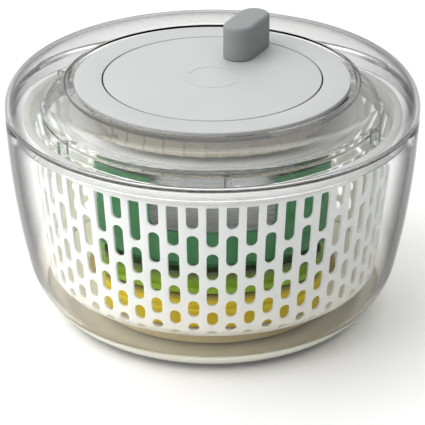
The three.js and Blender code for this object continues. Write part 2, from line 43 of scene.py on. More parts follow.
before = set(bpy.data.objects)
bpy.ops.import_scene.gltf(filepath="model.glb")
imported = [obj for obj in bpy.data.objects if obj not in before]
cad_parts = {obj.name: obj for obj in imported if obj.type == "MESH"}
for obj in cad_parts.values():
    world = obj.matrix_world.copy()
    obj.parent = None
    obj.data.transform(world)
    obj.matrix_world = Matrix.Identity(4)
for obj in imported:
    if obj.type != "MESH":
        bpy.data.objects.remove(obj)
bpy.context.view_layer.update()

MM = 0.001  # the shapes below are worked out in millimetres
RIM_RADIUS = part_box("bowl")[1].x / MM
RIM_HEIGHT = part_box("lid_shell")[0].z / MM + 8  # where the lid's edge sits on the bowl's
RIM_EDGE = 129.6  # beyond this radius the two clear rims get a painted shade line where they meet
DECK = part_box("cover_ring")[1].z / MM  # top of the grey ring and the crank disc
LEDGE = DECK - 3.3  # top of the lid's ledge and of the gear housing
RECESS = 91.6  # radius of the hollow that the gear unit sits in
FRONT = -math.pi / 2
LUGS, FIRST_LUG = 6, -85.3  # drive lugs, and the first one's angle in degrees


# ---- Settings -------------------------------------------------------------------------------


def length(name, description, millimetres, low=0.1, high=600):
    """A size setting, shown in the scene's length unit."""
    return bpy.props.FloatProperty(
        name=name, description=description, default=millimetres * MM, min=low * MM, max=high * MM,
        unit="LENGTH", subtype="DISTANCE", precision=4,
    )


def colour(name, description, red, green, blue):
    """A colour setting, in linear light."""
    return bpy.props.FloatVectorProperty(
        name=name, description=description, default=(red, green, blue), min=0, max=1, size=3,
        subtype="COLOR",
    )


def count(name, description, value, low, high):
    """A whole-number setting."""
    return bpy.props.IntProperty(name=name, description=description, default=value, min=low, max=high)


class SpinnerSizes(bpy.types.PropertyGroup):
    """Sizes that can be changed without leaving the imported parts' box."""

    bowl_wall: length("Bowl wall", "Thickness of the clear bowl", 2.9)
    basket_wall: length("Basket wall", "Thickness of the basket's wall", 1.9)
    slot_width: length("Slot width", "Width of the basket's slots", 7.1)
    slot_bridge: length("Slot bridge", "Height of the plastic between two slots in a column", 4.1)
    knob_edge: length("Knob edge", "Radius along the knob's top edge", 2.4)
    column_pairs: count("Column pairs", "Pairs of columns of slots round the basket", 30, 10, 45)
    housing_ribs: count("Housing ribs", "Ribs round the gear housing", 40, 8, 80)


class SpinnerColours(bpy.types.PropertyGroup):
    """Plastic colours."""

    basket: colour("Basket", "Slotted basket", 0.93, 0.92, 0.89)
    cover: colour("Cover", "Crank disc and the ring round it", 0.43, 0.435, 0.435)
    knob: colour("Knob", "Turning knob", 0.21, 0.225, 0.223)
    housing: colour("Housing", "Gear housing", 0.52, 0.48, 0.36)
    green: colour("Green tray", "Slicer tray", 0.035, 0.2, 0.065)
    lime: colour("Lime tray", "Shredder tray", 0.3, 0.5, 0.02)
    yellow: colour("Yellow tray", "Grater tray", 1.0, 0.76, 0.03)
    pad: colour("Base ring", "Non-slip ring under the bowl", 0.8, 0.76, 0.62)


def settings():
    """The scene's sizes and colours."""
    return bpy.context.scene.spinner_sizes, bpy.context.scene.spinner_colours


def need(nodes):
    """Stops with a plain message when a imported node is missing."""
    missing = [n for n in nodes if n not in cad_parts]
    if missing:
        raise RuntimeError(f"the packed model has no {', '.join(missing)}")


# ---- Outlines -------------------------------------------------------------------------------


def rounded(corners, steps=4):
    """A closed outline whose corners (a, b, radius) are rounded off; a corner may leave out its radius."""
    points = []
    for i, corner in enumerate(corners):
        here = Vector(corner[:2])
        radius = corner[2] if len(corner) > 2 else 0
        before = Vector(corners[i - 1][:2]) - here
        after = Vector(corners[(i + 1) % len(corners)][:2]) - here
        turn = before.angle(after, math.pi) if before.length and after.length else math.pi
        if radius <= 0 or turn > math.pi - 0.02:
            points.append(here)
            continue
        reach = min(radius / math.tan(turn / 2), before.length * 0.49, after.length * 0.49)
        start, end = here + before.normalized() * reach, here + after.normalized() * reach
        for k in range(steps + 1):
            t = k / steps
            points.append(start * (1 - t) ** 2 + here * 2 * t * (1 - t) + end * t * t)
    return [(p.x, p.y) for p in points]


def arc(cx, cy, rx, ry, start, end, steps):
    """Points along part of an ellipse, ends included. Angles are in degrees."""
    angles = [math.radians(start + (end - start) * k / steps) for k in range(steps + 1)]
    return [(cx + rx * math.cos(a), cy + ry * math.sin(a)) for a in angles]


def polar(distance, angle):
    """Where a point lies at a distance and angle from the spin axis."""
    return distance * math.cos(angle), distance * math.sin(angle)


def bezier(controls, steps):
    """Points along a Bezier curve, ends included."""
    points = []
    for k in range(steps + 1):
        row = [Vector(c) for c in controls]
        while len(row) > 1:
            row = [a.lerp(b, k / steps) for a, b in zip(row, row[1:])]
        points.append(tuple(row[0]))
    return points


def offset(points, distance, closed=False):
    """An outline moved to its left by a distance. An open one keeps its ends' own directions."""
    moved = []
    for i, point in enumerate(points):
        a = points[i - 1] if closed or i else point
        b = points[(i + 1) % len(points)] if closed or i + 1 < len(points) else point
        along = (Vector(b) - Vector(a)).normalized()
        moved.append((point[0] - along.y * distance, point[1] + along.x * distance))
    return moved


def filled(outlines):
    """Flat faces inside the first outline and outside the rest, with the points that they join."""
    flat, loops = [], []
    for outline in outlines:
        loops.append(list(range(len(flat), len(flat) + len(outline))))
        flat.extend(Vector(p) for p in outline)
    points, _, faces, *_ = delaunay_2d_cdt(flat, [], loops, 2, 1e-6)
    assert len(points) == len(flat)
    return points, faces, loops


# ---- Meshes ---------------------------------------------------------------------------------


def revolved(bm, outline, segments=192):
    """Adds a closed outline of (radius, height), turned about the spin axis."""
    turns = [2 * math.pi * k / segments for k in range(segments)]
    rings = []
    for radius, height in outline:
        angles = turns if radius > 1e-6 else [0]
        rings.append([bm.verts.new((*polar(radius, a), height)) for a in angles])
    for low, high in zip(rings, rings[1:] + rings[:1]):
        if len(low) == 1 and len(high) == 1:
            continue
        for k in range(segments):
            n = (k + 1) % segments
            corners = [low[k % len(low)], low[n % len(low)], high[n % len(high)], high[k % len(high)]]
            bm.faces.new(list(dict.fromkeys(corners)))


def extruded(bm, outline, bottom, top, place=Matrix()):
    """Adds a straight-sided block on a closed outline of (x, y)."""
    low = [bm.verts.new(place @ Vector((x, y, bottom))) for x, y in outline]
    high = [bm.verts.new(place @ Vector((x, y, top))) for x, y in outline]
    bm.faces.new(low[::-1])
    bm.faces.new(high)
    for k in range(len(outline)):
        n = (k + 1) % len(outline)
        bm.faces.new((low[k], low[n], high[n], high[k]))


def lofted(bm, sections, capped=True, place=Matrix()):
    """Adds a skin through closed sections, each a list of (x, y, z), and caps its two ends."""
    rings = [[bm.verts.new(place @ Vector(p)) for p in section] for section in sections]
    pairs = list(zip(rings, rings[1:]))
    if not capped:
        pairs.append((rings[-1], rings[0]))
    for low, high in pairs:
        for k in range(len(low)):
            n = (k + 1) % len(low)
            bm.faces.new((low[k], low[n], high[n], high[k]))
    if capped:
        bm.faces.new(rings[0][::-1])
        bm.faces.new(rings[-1])


def swept(bm, path, outline):
    """Adds a closed outline of (outward offset, height), carried round a closed path of (x, y)."""
    sections = []
    for out, height in outline:
        sections.append([(x, y, height) for x, y in offset(path, -out, closed=True)])
    lofted(bm, sections, capped=False)


def round_bar(width, height, radius, steps=5):
    """A rectangle about the origin with rounded corners."""
    w, h = width / 2, height / 2
    return rounded([(-w, -h, radius), (w, -h, radius), (w, h, radius), (-w, h, radius)], steps)


def finish_mesh(name, bm, sharp=35):
    """A mesh object in metres, from a bmesh in millimetres."""
    bmesh.ops.remove_doubles(bm, verts=bm.verts, dist=1e-4)
    bmesh.ops.recalc_face_normals(bm, faces=bm.faces)
    bm.transform(Matrix.Scale(MM, 4))
    mesh = bpy.data.meshes.new(name)
    bm.to_mesh(mesh)
    bm.free()
    mesh.shade_smooth()
    mesh.set_sharp_from_angle(angle=math.radians(sharp))
    piece = bpy.data.objects.new(name, mesh)
    bpy.context.scene.collection.objects.link(piece)
    return piece


def settle(piece, body, material, slot, *nodes):
    """Paints a piece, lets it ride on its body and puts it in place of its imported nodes."""
    piece.data.materials.append(material)
    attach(piece, body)
    if nodes:
        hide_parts(*nodes)
    return piece


def shade_faces(piece, material, chosen):
    """Gives another material to the faces whose radius and height pass a test."""
    piece.data.materials.append(material)
    for face in piece.data.polygons:
        middle = face.center / MM
        if chosen(math.hypot(middle.x, middle.y), middle.z):
            face.material_index = len(piece.data.materials) - 1


def carved(piece, cutter):
    """Cuts one object out of another and removes the cutter."""
    cut = piece.modifiers.new("cut", "BOOLEAN")
    cut.operation = "DIFFERENCE"
    cut.solver = "EXACT"
    cut.object = cutter
    graph = bpy.context.evaluated_depsgraph_get()
    mesh = bpy.data.meshes.new_from_object(piece.evaluated_get(graph))
    piece.modifiers.clear()
    piece.data = mesh
    mesh.shade_smooth()
    mesh.set_sharp_from_angle(angle=math.radians(35))
    bpy.data.objects.remove(cutter)
    return piece


def paint_packed(material, *nodes, bevel=0.0002):
    """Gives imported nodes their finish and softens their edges."""
    for name in nodes:
        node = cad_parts[name]
        node.data.materials.clear()
        node.data.materials.append(material)
        if bevel:
            soften = node.modifiers.new("soft edges", "BEVEL")
            soften.width = bevel
            soften.segments = 2
            soften.limit_method = "ANGLE"
            soften.angle_limit = math.radians(40)


# ---- Finishes -------------------------------------------------------------------------------


class Finish:
    """A material with one Principled shader, and noise that feeds its sockets."""

    def __init__(self, name, base, roughness, **sockets):
        self.material = bpy.data.materials.new(name)
        self.material.use_nodes = True
        self.nodes = self.material.node_tree.nodes
        self.links = self.material.node_tree.links
        self.shader = self.nodes["Principled BSDF"]
        self.output = self.nodes["Material Output"]
        self.place = self.nodes.new("ShaderNodeTexCoord")
        self.shader.inputs["Base Color"].default_value = (*base, 1)
        self.shader.inputs["Roughness"].default_value = roughness
        self.base = base
        self.roughness = roughness
        for socket, value in sockets.items():
            self.shader.inputs[socket.replace("_", " ")].default_value = value

    def noise(self, scale, detail=3, stretch=(1, 1, 1)):
        """Noise that stays with the piece."""
        spread = self.nodes.new("ShaderNodeMapping")
        spread.inputs["Scale"].default_value = stretch
        texture = self.nodes.new("ShaderNodeTexNoise")
        texture.inputs["Scale"].default_value = scale
        texture.inputs["Detail"].default_value = detail
        self.links.new(self.place.outputs["Object"], spread.inputs["Vector"])
        self.links.new(spread.outputs["Vector"], texture.inputs["Vector"])
        return texture.outputs["Fac"]

    def mottle(self, scale, amount, stretch=(1, 1, 1)):
        """Lets the colour drift a little lighter and darker."""
        ramp = self.nodes.new("ShaderNodeValToRGB")
        ramp.color_ramp.elements[0].position = 0.3
        ramp.color_ramp.elements[1].position = 0.7
        ramp.color_ramp.elements[0].color = (*[c * (1 - amount) for c in self.base], 1)
        ramp.color_ramp.elements[1].color = (*[min(1, c * (1 + amount)) for c in self.base], 1)
        self.links.new(self.noise(scale, 4, stretch), ramp.inputs["Fac"])
        self.links.new(ramp.outputs["Color"], self.shader.inputs["Base Color"])
        return self

    def smudge(self, scale, amount, stretch=(1, 1, 1)):
        """Lets the gloss vary, as handled plastic's does."""
        span = self.nodes.new("ShaderNodeMapRange")
        span.inputs["From Min"].default_value = 0.3
        span.inputs["From Max"].default_value = 0.7
        span.inputs["To Min"].default_value = max(0, self.roughness - amount)
        span.inputs["To Max"].default_value = self.roughness + amount
        self.links.new(self.noise(scale, 3, stretch), span.inputs["Value"])
        self.links.new(span.outputs["Result"], self.shader.inputs["Roughness"])
        return self

    def grain(self, scale, strength, height=0.0001, stretch=(1, 1, 1)):
        """Raises a fine grain on the surface."""
        bump = self.nodes.new("ShaderNodeBump")
        bump.inputs["Strength"].default_value = strength
        bump.inputs["Distance"].default_value = height
        self.links.new(self.noise(scale, 5, stretch), bump.inputs["Height"])
        self.links.new(bump.outputs["Normal"], self.shader.inputs["Normal"])
        return self

    def rise(self, low, high, under, over):
        """A colour that goes from under to over between two heights in metres."""
        split = self.nodes.new("ShaderNodeSeparateXYZ")
        span = self.nodes.new("ShaderNodeMapRange")
        span.inputs["From Min"].default_value = low
        span.inputs["From Max"].default_value = high
        blend = self.nodes.new("ShaderNodeMix")
        blend.data_type = "RGBA"
        blend.inputs["A"].default_value = (*under, 1)
        blend.inputs["B"].default_value = (*over, 1)
        self.links.new(self.place.outputs["Object"], split.inputs["Vector"])
        self.links.new(split.outputs["Z"], span.inputs["Value"])
        self.links.new(span.outputs["Result"], blend.inputs["Factor"])
        return blend

    def fade(self, start, end, tint):
        """Lets the colour go over to a tint from one height in metres to another."""
        before = self.shader.inputs["Base Color"].links[0].from_socket
        blend = self.rise(start, end, self.base, tint)
        self.links.new(before, blend.inputs["A"])
        self.links.new(blend.outputs["Result"], self.shader.inputs["Base Color"])
        return self

    def lets_light_in(self, tint, shade=None):
        """Lamps shine through, so that what is inside isn't left dark."""
        path = self.nodes.new("ShaderNodeLightPath")
        through = self.nodes.new("ShaderNodeBsdfTransparent")
        through.inputs["Color"].default_value = (*tint, 1)
        if shade:
            self.links.new(shade, through.inputs["Color"])
        mix = self.nodes.new("ShaderNodeMixShader")
        self.links.new(path.outputs["Is Shadow Ray"], mix.inputs["Fac"])
        self.links.new(self.shader.outputs["BSDF"], mix.inputs[1])
        self.links.new(through.outputs["BSDF"], mix.inputs[2])
        self.links.new(mix.outputs["Shader"], self.output.inputs["Surface"])
        return self


def clear_plastic(name, bend, light, slope, edge, ripple, foot=False):
    """Clear moulded plastic with a faint flow ripple, greyer where it is seen edge on: a painted shade in
    place of the dim surroundings that the silhouettes would reflect.

    Bend is how much it bends light and light is how much of a lamp's light passes. Slope and edge are how
    much passes where it is seen aslant and nearly edge on. A foot gets a painted yellowish tint, in place of
    light thrown from the yellow tray."""
    finish = Finish(name, (1, 1, 1), 0.03, Transmission_Weight=1.0, IOR=bend)
    # Painted shade: the colour greys towards the silhouettes, in place of dim reflections there.
    slant = finish.nodes.new("ShaderNodeLayerWeight")
    slant.inputs["Blend"].default_value = 0.5
    ramp = finish.nodes.new("ShaderNodeValToRGB")
    stops = [
        (0.1, 0.98),
        (0.42, (1 + slope) / 2 + 0.04),
        (0.6, slope),
        (0.74, edge + 0.1),
        (0.83, edge * 0.05),
    ]
    elements = ramp.color_ramp.elements
    while len(elements) < len(stops):
        elements.new(0.5)
    for element, (place, shade) in zip(elements, stops):
        element.position = place
        element.color = (shade, shade, shade, 1)
    finish.links.new(slant.outputs["Facing"], ramp.inputs["Fac"])
    shade, lamp = ramp.outputs["Color"], None
    if foot:
        # Painted light: the foot turns yellowish towards the floor, as if lit by the yellow tray.
        warm = finish.rise(0.008, 0.035, (0.98, 0.93, 0.78), (1, 1, 1))
        finish.links.new(shade, warm.inputs["B"])
        shade = warm.outputs["Result"]
        lamp = finish.rise(0.012, 0.03, (0.88, 0.86, 0.78), (light, light, light)).outputs["Result"]
    finish.links.new(shade, finish.shader.inputs["Base Color"])
    finish.smudge(18, 0.015)
    finish.grain(7, ripple, 0.0004)
    return finish.lets_light_in((light, light, light), lamp).material


def foot_plastic(name):
    """The bowl's thick foot, frosted and paler than its wall, its paleness partly a painted glow of light
    held in the thick base. No lamp shines through it.
    """
    finish = Finish(name, (1, 0.98, 0.88), 0.12, Transmission_Weight=0.4, IOR=1.3)
    return finish.mottle(12, 0.04).smudge(30, 0.05).grain(12, 0.1, 0.0003).material


def seam_shade_plastic(name):
    """Blackish clear plastic: a painted shade where two edges meet and along the bowl's foot, where little
    light gets out.
    """
    finish = Finish(name, (0.05, 0.05, 0.05), 0.25, Transmission_Weight=1.0, IOR=1.2)
    finish.mottle(12, 0.3).smudge(30, 0.1).grain(40, 0.1)
    return finish.lets_light_in((0.9, 0.9, 0.9)).material


def moulded(name, base, roughness=0.38, grain=0.12, mottle=0.03, dark=None):
    """Solid moulded plastic. Painted shadow is the heights in metres between which a painted shadow deepens
    its colour towards the top.
    """
    finish = Finish(name, base, roughness, IOR=1.47)
    finish.mottle(22, mottle).smudge(40, 0.05).grain(1400, grain, 0.00005)
    if dark:
        # Painted shadow, as cast by the tray stacked above.
        finish.fade(*dark, [0.02 + c * 0.12 for c in base])
    return finish.material


def translucent(name, base, basket=False):
    """White plastic that lets some light soak through. The basket's rim top gets a painted shade and its foot
    a painted tan shade, tinted as by the trays' yellow light.
    """
    finish = Finish(name, base, 0.36, IOR=1.47, Subsurface_Weight=0.6, Subsurface_Scale=0.02)
    finish.shader.inputs["Subsurface Radius"].default_value = (1, 0.95, 0.85)
    finish.mottle(14, 0.02, (1, 1, 0.2)).smudge(40, 0.05).grain(1400, 0.08, 0.00005)
    if basket:
        # Painted shade on the rim's top, which the lamps would light too brightly.
        finish.fade(0.1328, 0.1338, [c * 0.55 for c in base])
        # Painted tan shade on the foot: a shadow tinted by the trays' yellow light.
        finish.fade(0.0245, 0.0225, (0.86, 0.7, 0.42))
    return finish.lets_light_in((0.6, 0.6, 0.56)).material


def brushed_steel(name):
    """Stainless steel with a brushed grain along X."""
    finish = Finish(name, (0.62, 0.63, 0.64), 0.3, Metallic=1.0)
    lay = (0.04, 1, 1)
    finish.mottle(900, 0.06, lay).smudge(900, 0.08, lay).grain(1800, 0.2, 0.00003, lay)
    return finish.material


def rubber(name, base):
    """Matte rubber with a pebbled skin."""
    finish = Finish(name, base, 0.85)
    finish.mottle(60, 0.08).smudge(90, 0.06).grain(900, 0.5, 0.0001)
    return finish.material


_made = {}  # finishes by name


def finish_named(name, maker, *arguments, **named):
    """A finish made once and shared."""
    if name not in _made:
        _made[name] = maker(name, *arguments, **named)
    return _made[name]


def steel():
    """The finish of every metal part."""
    return finish_named("brushed steel", brushed_steel)


def dark_edge():
    """The painted shade in the seam of the clear rims, and the painted contact shadow round the bowl's foot.
    """
    return finish_named("seam grey", seam_shade_plastic)


def cover_grey():
    """The finish of the crank disc, the ring round it and the housing's lugs."""
    return finish_named("cover grey", moulded, tuple(settings()[1].cover), 0.5)


def tray_plastic(name, base, dark=None):
    """A tray's glossy plastic, with a painted shadow towards its top where heights are given."""
    return finish_named(name, moulded, tuple(base), 0.3, dark=dark)


# ---- Stage ----------------------------------------------------------------------------------

CAMERA, AIM = Vector((0, -1.20442, 0.65308)), Vector((0, 0, 0.06085))
LENS = 173.28


def area_light(name, place, target, size, power, tint=(1, 1, 1)):
    """A soft panel of light aimed at a point."""
    lamp = bpy.data.lights.new(name, "AREA")
    lamp.shape = "RECTANGLE"
    lamp.size, lamp.size_y = size
    lamp.energy = power
    lamp.color = tint
    panel = bpy.data.objects.new(name, lamp)
    panel.location = place
    panel.rotation_mode = "QUATERNION"
    panel.rotation_quaternion = (Vector(target) - Vector(place)).to_track_quat("-Z", "Y")
    bpy.context.scene.collection.objects.link(panel)


class SPINNER_OT_stage(bpy.types.Operator):
    """Pale floor, soft studio light and the camera"""

    bl_idname = "spinner.stage"
    bl_label = "Stage"

    def execute(self, context):
        scene = context.scene
        scene.view_settings.view_transform = "Standard"
        bm = bmesh.new()
        floor = 6000
        extruded(bm, [(-floor, -floor), (floor, -floor), (floor, floor), (-floor, floor)], -10, 0)
        ground = finish_mesh("floor", bm)
        paper = Finish("pale paper", (0.93, 0.93, 0.925), 0.9)
        paper.mottle(3, 0.004)
        ground.data.materials.append(paper.material)

        world = bpy.data.worlds.new("studio")
        world.use_nodes = True
        sky = world.node_tree.nodes["Background"]
        sky.inputs["Color"].default_value = (1, 1, 1, 1)
        place = world.node_tree.nodes.new("ShaderNodeTexCoord")
        lean = world.node_tree.nodes.new("ShaderNodeVectorMath")
        lean.operation = "DOT_PRODUCT"
        lean.inputs[1].default_value = (-0.55, 0.05, 0.45)
        fade = world.node_tree.nodes.new("ShaderNodeMapRange")
        fade.inputs["From Min"].default_value = -0.5
        fade.inputs["From Max"].default_value = 0.7
        fade.inputs["To Min"].default_value = 0.36
        fade.inputs["To Max"].default_value = 1.2
        world.node_tree.links.new(place.outputs["Generated"], lean.inputs[0])
        world.node_tree.links.new(lean.outputs["Value"], fade.inputs["Value"])
        world.node_tree.links.new(fade.outputs["Result"], sky.inputs["Strength"])
        scene.world = world
        middle = (0, 0, 0.08)
        area_light("key", (-1.3, -0.4, 1.25), middle, (2, 2), 21)
        area_light("back", (-0.3, 1.5, 1.9), middle, (2.2, 1.2), 15)

        camera = bpy.data.cameras.new("camera")
        camera.lens = LENS
        camera.sensor_width = 36
        camera.clip_start, camera.clip_end = 0.05, 30
        eye = bpy.data.objects.new("camera", camera)
        eye.location = CAMERA
        eye.rotation_mode = "QUATERNION"
        eye.rotation_quaternion = (AIM - CAMERA).to_track_quat("-Z", "Y")
        scene.collection.objects.link(eye)
        scene.camera = eye
        return {"FINISHED"}


# ---- Bowl -----------------------------------------------------------------------------------

BOWL_FOOT = 16  # height of the bowl's pale foot, its paleness partly a painted glow
# Bands of painted shade on the bowl: the seam under the lid, and a contact shadow line round the foot.
PAINTED_SHADE_BANDS = ((RIM_EDGE, RIM_HEIGHT - 0.9, RIM_HEIGHT), (89, 0, 3.2))  # least radius, bottom, top


def bowl_outside():
    """Outside of the bowl from foot to rim."""
    corner = bezier([(91.5, 0.6), (104.5, 4), (118, 20), (121.3, 39.3)], 22)
    wall = bezier([(121.3, 39.3), (131.5, 89), (RIM_RADIUS, RIM_HEIGHT - 0.3)], 22)
    return corner + wall[1:]


class SPINNER_OT_bowl(bpy.types.Operator):
    """Clear bowl with its pivot dome, and the non-slip ring it stands on"""

    bl_idname = "spinner.bowl"
    bl_label = "Bowl"

    def execute(self, context):
        need(["bowl", "base_ring"])
        sizes, colours = settings()
        outside = bowl_outside()
        inside = offset(outside, sizes.bowl_wall / MM)[::-1]
        inside = [p for p in inside if p[1] > 8]
        # The third corner only closes the outline, so the rim is the first two, of five points each.
        rim = rounded([outside[-1] + (0.8,), (inside[0][0], RIM_HEIGHT - 0.3, 0.8), (0, 0)])[:10]
        floor = rounded([inside[-1], (96, 6.6, 6), (70, 6.2), (12, 6.2, 3), (5, 12.6, 2), (0, 14)])
        underside = [(0, 3.4), (88.3, 3.4), (88.3, 0.8), (88.9, 0.6)]
        bm = bmesh.new()
        revolved(bm, underside + outside[:-1] + rim + inside[1:-1] + floor)
        piece = finish_mesh("clear_bowl", bm, 30)
        clear = finish_named(
            "clear bowl plastic", clear_plastic,
            bend=1.13, light=0.95, slope=0.82, edge=0.08, ripple=0.1, foot=True,
        )
        settle(piece, "bowl", clear, "clear_plastic", "bowl")
        # Below BOWL_FOOT the bowl is paler: frosted plastic, partly a painted glow.
        shade_faces(piece, finish_named("bowl foot", foot_plastic), lambda radius, height: height < BOWL_FOOT)

        # Painted shade: a blackened seam under the lid and a painted contact shadow round the foot.
        def in_shade_band(radius, height):
            return any(radius > least and bottom < height < top for least, bottom, top in PAINTED_SHADE_BANDS)

        shade_faces(piece, dark_edge(), in_shade_band)

        bm = bmesh.new()
        revolved(bm, rounded([(77, 0, 0.6), (88, 0, 0.6), (88, 3.1, 0.3), (77, 3.1, 0.3)]), 128)
        ring = finish_mesh("foot_ring", bm)
        pad = finish_named("foot rubber", rubber, tuple(colours.pad))
        settle(ring, "bowl", pad, "base_pad", "base_ring")
        return {"FINISHED"}


# ---- Basket ---------------------------------------------------------------------------------

WALL_FOOT, WALL_HEAD = 29.0, 130.0  # heights between which the wall's curve is drawn
WALL_CURVE = (108, 112.6, 117.6)  # the curve's three radii
WALL_BEND, BEND_RADIUS = 38.0, 14  # below this height the wall turns in under the basket
SLOT_TOP, SLOT_END = 121.2, 28.0  # heights that the columns of slots keep between
LONG_SLOT, SHORT_SLOT = 28.2, 15.5  # height of the top slot in one column and in the next
SLOT_CORNER = 0.7  # corner radius at the square tops of the highest slots
WALL_BOTTOM, WALL_TOP = 27.0, SLOT_TOP + 1.8  # the slotted part of the wall


def basket_radius(height):
    """Outside radius of the basket's wall."""
    t = (max(height, WALL_BEND) - WALL_FOOT) / (WALL_HEAD - WALL_FOOT)
    drop = max(0, WALL_BEND - height)
    bend = BEND_RADIUS - math.sqrt(max(0, BEND_RADIUS**2 - drop * drop))
    low, middle, high = WALL_CURVE
    return (1 - t) ** 2 * low + 2 * t * (1 - t) * middle + t * t * high - bend


def slot_spans(first, bridge):
    """(bottom, top) of each slot down one column, shorter towards the floor."""
    spans, top, tall = [], SLOT_TOP, first
    while top - tall > SLOT_END:
        spans.append((top - tall, top))
        top -= tall + bridge
        tall = min(0.217 * top, 0.44 * (top - 24))  # a share of how high it stands, less near the floor
    return spans


def slot_outline(centre, bottom, top, width):
    """Long hole with round ends, as (distance round the wall, height), wide as the wall at its middle."""
    radius = min(width, top - bottom) / 2
    half = width / 2
    left, right = centre - half, centre + half
    points = arc(centre, bottom + radius, half, radius, 180, 360, 10)
    crown = SLOT_CORNER if top == SLOT_TOP else radius
    points += [(right, z) for z in straight(bottom + radius, top - crown)]
    if crown < radius:
        points += arc(right - crown, top - crown, crown, crown, 0, 90, 4)
        points += arc(left + crown, top - crown, crown, crown, 90, 180, 4)
    else:
        cap = arc(centre, top - radius, half, radius, 0, 180, 10)
        points += cap if top - bottom > width else cap[1:-1]
    points += [(left, z) for z in straight(top - crown, bottom + radius)]
    return points


def straight(start, end):
    """Heights strictly between two, about 7 apart, so that long edges follow the wall's curve."""
    steps = int(abs(end - start) // 7)
    return [start + (end - start) * k / (steps + 1) for k in range(1, steps + 1)]


def wall_cell(bm, sizes):
    """Adds the slotted wall: one pair of columns is cut flat, rolled onto the wall and repeated."""
    width, bridge = sizes.slot_width / MM, sizes.slot_bridge / MM
    thick = sizes.basket_wall / MM
    pitch = math.pi / sizes.column_pairs
    unit = 110.0  # a flat width of unit times an angle stands for that angle
    low, high = WALL_BOTTOM, WALL_TOP
    edge_heights = [low + (high - low) * (k / 20) ** 1.6 for k in range(21)]
    left, right = -0.5 * pitch * unit, 1.5 * pitch * unit
    columns = (0, pitch * unit / 2, pitch * unit)
    outer = [(left, z) for z in reversed(edge_heights)] + [(x, low) for x in columns]
    outer += [(right, z) for z in edge_heights] + [(x, high) for x in reversed(columns)]
    holes = [slot_outline(0, b, t, width) for b, t in slot_spans(LONG_SLOT, bridge)]
    holes += [slot_outline(pitch * unit, b, t, width) for b, t in slot_spans(SHORT_SLOT, bridge)]
    points, faces, loops = filled([outer] + holes)

    def rolled(point, depth, turn):
        radius = basket_radius(point[1]) - depth
        angle = FRONT + point[0] / unit + turn
        return bm.verts.new((*polar(radius, angle), point[1]))

    for pair in range(sizes.column_pairs):
        turn = pair * 2 * pitch
        skin = [[rolled(p, depth, turn) for p in points] for depth in (0, thick)]
        for face in faces:
            bm.faces.new([skin[0][i] for i in face])
            bm.faces.new([skin[1][i] for i in reversed(face)])
        for loop in loops[1:]:
            for a, b in zip(loop, loop[1:] + loop[:1]):
                bm.faces.new((skin[0][a], skin[1][a], skin[1][b], skin[0][b]))


class SPINNER_OT_basket(bpy.types.Operator):
    """White basket with staggered slots, a narrower foot and drive ribs under its rim"""

    bl_idname = "spinner.basket"
    bl_label = "Basket"

    def execute(self, context):
        need(["basket"])
        sizes, colours = settings()
        thick = sizes.basket_wall / MM
        bm = bmesh.new()
        wall_cell(bm, sizes)
        bmesh.ops.remove_doubles(bm, verts=bm.verts, dist=1e-3)
        rim = [
            (basket_radius(WALL_TOP), WALL_TOP),
            (basket_radius(WALL_HEAD - 1), WALL_HEAD - 1, 0.8),
            (121.4, WALL_HEAD, 0.8),
            (121.4, 134, 1.2),
            (115.6, 134, 1.2),
            (basket_radius(WALL_TOP) - thick, WALL_TOP),
        ]
        revolved(bm, rounded(rim))
        corner = [(basket_radius(z), z) for z in (WALL_BOTTOM, 26.2, 25.5, 24.9, 24.4, 24.1, 24)]
        foot = [(83.6, 24, 1.2), (82.8, 9, 2), (8.8, 9, 1), (5.8, 14.2), (0, 14.2)]
        floor = [(0, 16.4), (8.4, 16.4, 2), (13, 10.9, 2), (80.9, 10.9, 1.5), (81.7, 25.9, 1.2)]
        ledge = [(97.5, 25.9), (basket_radius(WALL_BOTTOM) - thick, WALL_BOTTOM)]
        revolved(bm, rounded(corner + foot + floor + ledge))
        for k in range(LUGS):
            turn = Matrix.Rotation(math.radians(FIRST_LUG + 3 + k * 360 / LUGS), 4, "Z")
            extruded(bm, round_bar(5, 3, 0.5, 3), 124, 133, turn @ Matrix.Translation((113.6, 0, 0)))
        piece = finish_mesh("slotted_basket", bm, 40)
        white = finish_named("basket white", translucent, tuple(colours.basket), True)
        settle(piece, "basket", white, "white_plastic", "basket")
        return {"FINISHED"}


# ---- Trays ----------------------------------------------------------------------------------

TRAY_WALL = 2.4
GREEN_WINDOW, SMALL_WINDOW = (100, 100), (80, 60)  # holes in the floors, under the steel plates


def tray_plan(radius, half_width, corner=9):
    """Plan of a tray: round ends front and back, straight sides."""
    reach = math.degrees(math.acos(half_width / radius))
    steps = 48
    corners = (0, steps, steps + 1, 2 * steps + 1)
    ends = arc(0, 0, radius, radius, reach, 180 - reach, steps)
    ends += arc(0, 0, radius, radius, 180 + reach, 360 - reach, steps)
    marked = [p + ((corner,) if i in corners else ()) for i, p in enumerate(ends)]
    trimmed = []
    for p in marked:
        near_corner = any(0 < math.dist(p[:2], marked[c][:2]) < corner for c in corners)
        if not near_corner or len(p) > 2:
            trimmed.append(p)
    return rounded(trimmed, 6)


def tray_wall(bm, plan, wall, bottom, top):
    """Adds a tray's wall, or a ledge that goes round it."""
    outline = [(0, bottom, 0.5), (0, top, 0.5), (-wall, top, 0.7), (-wall, bottom, 0.5)]
    swept(bm, plan, rounded(outline, 3))


def tray_floor(bm, plan, bottom, top, window):
    """Adds a tray's floor with a window in it."""
    points, faces, loops = filled([plan, round_bar(*window, 4)])
    levels = [[bm.verts.new((*p, z)) for p in points] for z in (bottom, top)]
    for face in faces:
        bm.faces.new([levels[1][i] for i in face])
        bm.faces.new([levels[0][i] for i in reversed(face)])
    for loop in loops:
        for a, b in zip(loop, loop[1:] + loop[:1]):
            bm.faces.new((levels[0][a], levels[0][b], levels[1][b], levels[1][a]))


